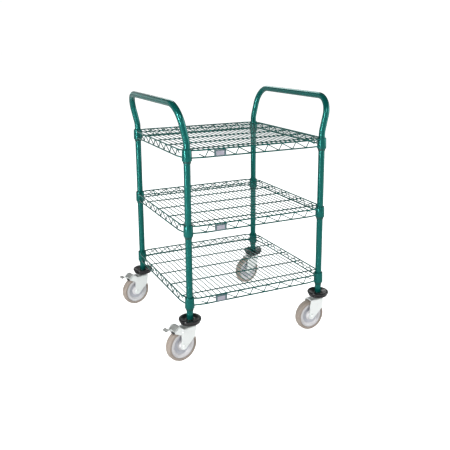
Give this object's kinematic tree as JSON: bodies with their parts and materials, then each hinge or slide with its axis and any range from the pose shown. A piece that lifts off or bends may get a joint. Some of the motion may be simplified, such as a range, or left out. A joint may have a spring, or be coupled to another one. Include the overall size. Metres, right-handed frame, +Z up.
{
  "type": "wire shelf cart",
  "caption": "Wire shelf cart on swivel casters: epoxy-coated wire shelves clamped to grooved round posts, with U-shaped push handles and foot brakes on the casters at one end.",
  "frame": {"origin": "on the floor, under the middle of the whole cart", "axes": "+X from one push handle to the other, away from the braked casters; +Y to the rear; +Z up"},
  "size_m": [0.7308, 0.6576, 0.9711],
  "materials": {
    "epoxy": "glossy green epoxy over steel wire and tube",
    "sleeve": "satin moulded plastic",
    "zinc": "bright zinc-plated pressed steel",
    "tread": "non-marking grey rubber tread",
    "hub": "light grey moulded wheel centre",
    "bumper": "black rubber",
    "shoe": "black brake rubber",
    "label": "blank grey label holder"
  },
  "bodies": {
    "frame": {"post_front_left": "epoxy", "post_front_right": "epoxy", "post_rear_left": "epoxy", "post_rear_right": "epoxy", "handle_left": "epoxy", "handle_right": "epoxy", "shelf_bottom": "epoxy", "label_holder_bottom": "label", "sleeve_bottom_front_left": "sleeve", "sleeve_bottom_front_right": "sleeve", "sleeve_bottom_rear_left": "sleeve", "sleeve_bottom_rear_right": "sleeve", "shelf_middle": "epoxy", "label_holder_middle": "label", "sleeve_middle_front_left": "sleeve", "sleeve_middle_front_right": "sleeve", "sleeve_middle_rear_left": "sleeve", "sleeve_middle_rear_right": "sleeve", "shelf_top": "epoxy", "label_holder_top": "label", "sleeve_top_front_left": "sleeve", "sleeve_top_front_right": "sleeve", "sleeve_top_rear_left": "sleeve", "sleeve_top_rear_right": "sleeve", "bumper_front_left": "bumper", "stem_front_left": "zinc", "bumper_front_right": "bumper", "stem_front_right": "zinc", "bumper_rear_left": "bumper", "stem_rear_left": "zinc", "bumper_rear_right": "bumper", "stem_rear_right": "zinc"},
    "swivel_front_left": {"ball_race_front_left": "zinc", "fork_front_left": "zinc", "axle_front_left": "zinc", "axle_nut_front_left": "zinc"},
    "wheel_front_left": {"tyre_front_left": "tread", "hub_front_left": "hub"},
    "brake_front_left": {"brake_pedal_front_left": "zinc", "brake_shoe_front_left": "shoe"},
    "swivel_front_right": {"ball_race_front_right": "zinc", "fork_front_right": "zinc", "axle_front_right": "zinc", "axle_nut_front_right": "zinc"},
    "wheel_front_right": {"tyre_front_right": "tread", "hub_front_right": "hub"},
    "swivel_rear_left": {"ball_race_rear_left": "zinc", "fork_rear_left": "zinc", "axle_rear_left": "zinc", "axle_nut_rear_left": "zinc"},
    "wheel_rear_left": {"tyre_rear_left": "tread", "hub_rear_left": "hub"},
    "brake_rear_left": {"brake_pedal_rear_left": "zinc", "brake_shoe_rear_left": "shoe"},
    "swivel_rear_right": {"ball_race_rear_right": "zinc", "fork_rear_right": "zinc", "axle_rear_right": "zinc", "axle_nut_rear_right": "zinc"},
    "wheel_rear_right": {"tyre_rear_right": "tread", "hub_rear_right": "hub"}
  },
  "joints": [
    {"name": "swivel_front_left", "type": "hinge", "parent": "frame", "child": "swivel_front_left", "pos_m": [-0.25075, -0.28575, 0.134], "axis": [0, 0, 1], "continuous": true},
    {"name": "wheel_spin_front_left", "type": "hinge", "parent": "swivel_front_left", "child": "wheel_front_left", "pos_m": [-0.29127, -0.29363, 0.0625], "axis": [-0.1908, 0.9816, 0], "continuous": true},
    {"name": "brake_front_left", "type": "hinge", "parent": "swivel_front_left", "child": "brake_front_left", "pos_m": [-0.29395, -0.29415, 0.12], "axis": [0.1908, -0.9816, 0], "range_deg": [0, 8]},
    {"name": "swivel_front_right", "type": "hinge", "parent": "frame", "child": "swivel_front_right", "pos_m": [0.32075, -0.28575, 0.134], "axis": [0, 0, 1], "continuous": true},
    {"name": "wheel_spin_front_right", "type": "hinge", "parent": "swivel_front_right", "child": "wheel_front_right", "pos_m": [0.2795, -0.28719, 0.0625], "axis": [-0.0349, 0.9994, 0], "continuous": true},
    {"name": "swivel_rear_left", "type": "hinge", "parent": "frame", "child": "swivel_rear_left", "pos_m": [-0.25075, 0.28575, 0.134], "axis": [0, 0, 1], "continuous": true},
    {"name": "wheel_spin_rear_left", "type": "hinge", "parent": "swivel_rear_left", "child": "wheel_rear_left", "pos_m": [-0.29113, 0.27717, 0.0625], "axis": [-0.2079, 0.9781, 0], "continuous": true},
    {"name": "brake_rear_left", "type": "hinge", "parent": "swivel_rear_left", "child": "brake_rear_left", "pos_m": [-0.29379, 0.2766, 0.12], "axis": [0.2079, -0.9781, 0], "range_deg": [0, 8]},
    {"name": "swivel_rear_right", "type": "hinge", "parent": "frame", "child": "swivel_rear_right", "pos_m": [0.32075, 0.28575, 0.134], "axis": [0, 0, 1], "continuous": true},
    {"name": "wheel_spin_rear_right", "type": "hinge", "parent": "swivel_rear_right", "child": "wheel_rear_right", "pos_m": [0.28037, 0.27717, 0.0625], "axis": [-0.2079, 0.9781, 0], "continuous": true}
  ]
}
